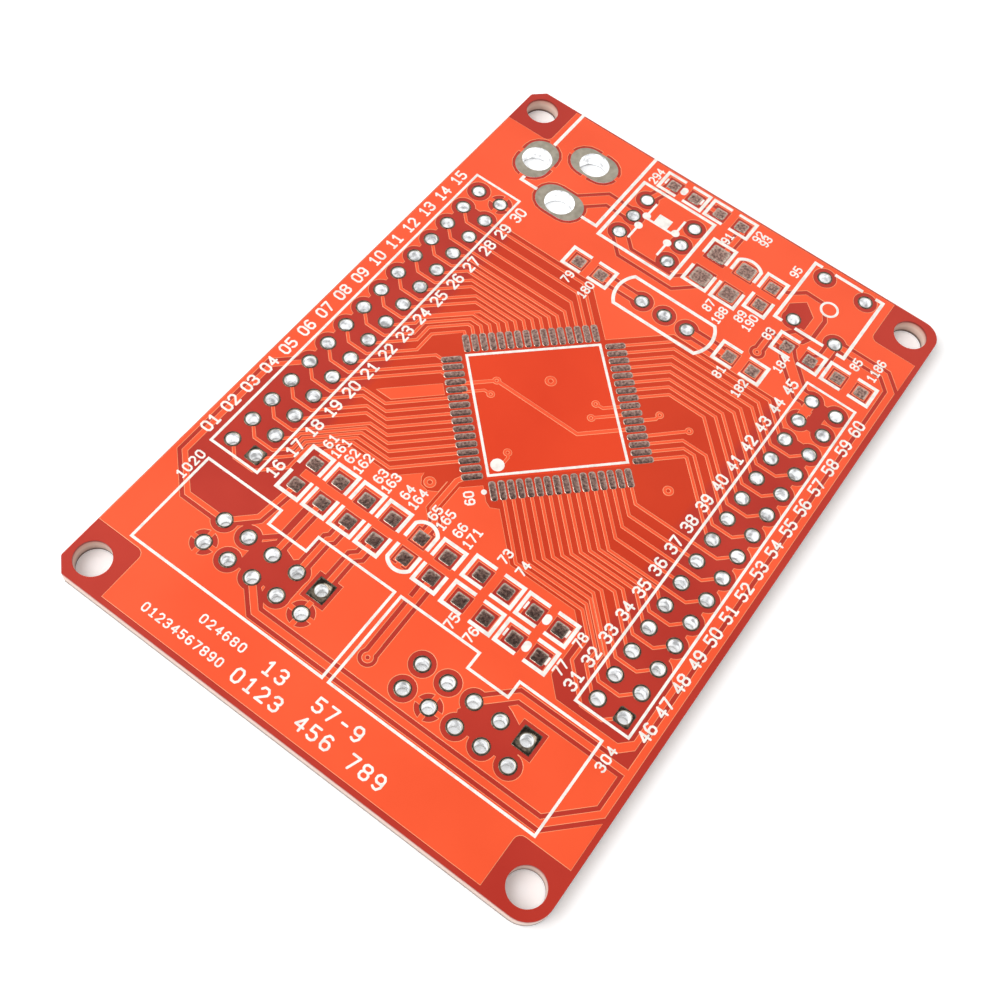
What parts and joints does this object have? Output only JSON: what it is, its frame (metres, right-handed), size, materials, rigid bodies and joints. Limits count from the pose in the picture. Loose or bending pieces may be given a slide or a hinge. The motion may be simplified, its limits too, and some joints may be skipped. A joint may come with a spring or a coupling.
{
  "type": "microcontroller development board",
  "caption": "Bare red microcontroller development board: plated lead holes along both long edges, tinned chip lands, white printed part outlines and a screw hole near each corner.",
  "frame": {"origin": "middle of the board's underside, halfway along its length and its width", "axes": "+X along the long edges, towards the end with the power jack; +Y across the board, towards the edge beside the jack; +Z out of the printed component side"},
  "size_m": [0.0682, 0.0472, 0.0016],
  "materials": {
    "laminate": "satin",
    "tin": "satin",
    "ink": "matte"
  },
  "bodies": {
    "root": {"board": "laminate", "chip_lands": "tin", "resistor_lands": "tin", "capacitor_lands": "tin", "inductor_lands": "tin", "diode_lands": "tin", "fuse_lands": "tin", "jack_eyelets": "tin", "header_outlines": "ink", "connector_outlines": "ink", "chip_outline": "ink", "resistor_outlines": "ink", "capacitor_outlines": "ink", "inductor_outline": "ink", "fuse_outline": "ink", "diode_outlines": "ink", "resonator_outline": "ink", "switch_outline": "ink", "button_outline": "ink", "jack_outline": "ink"}
  },
  "joints": []
}
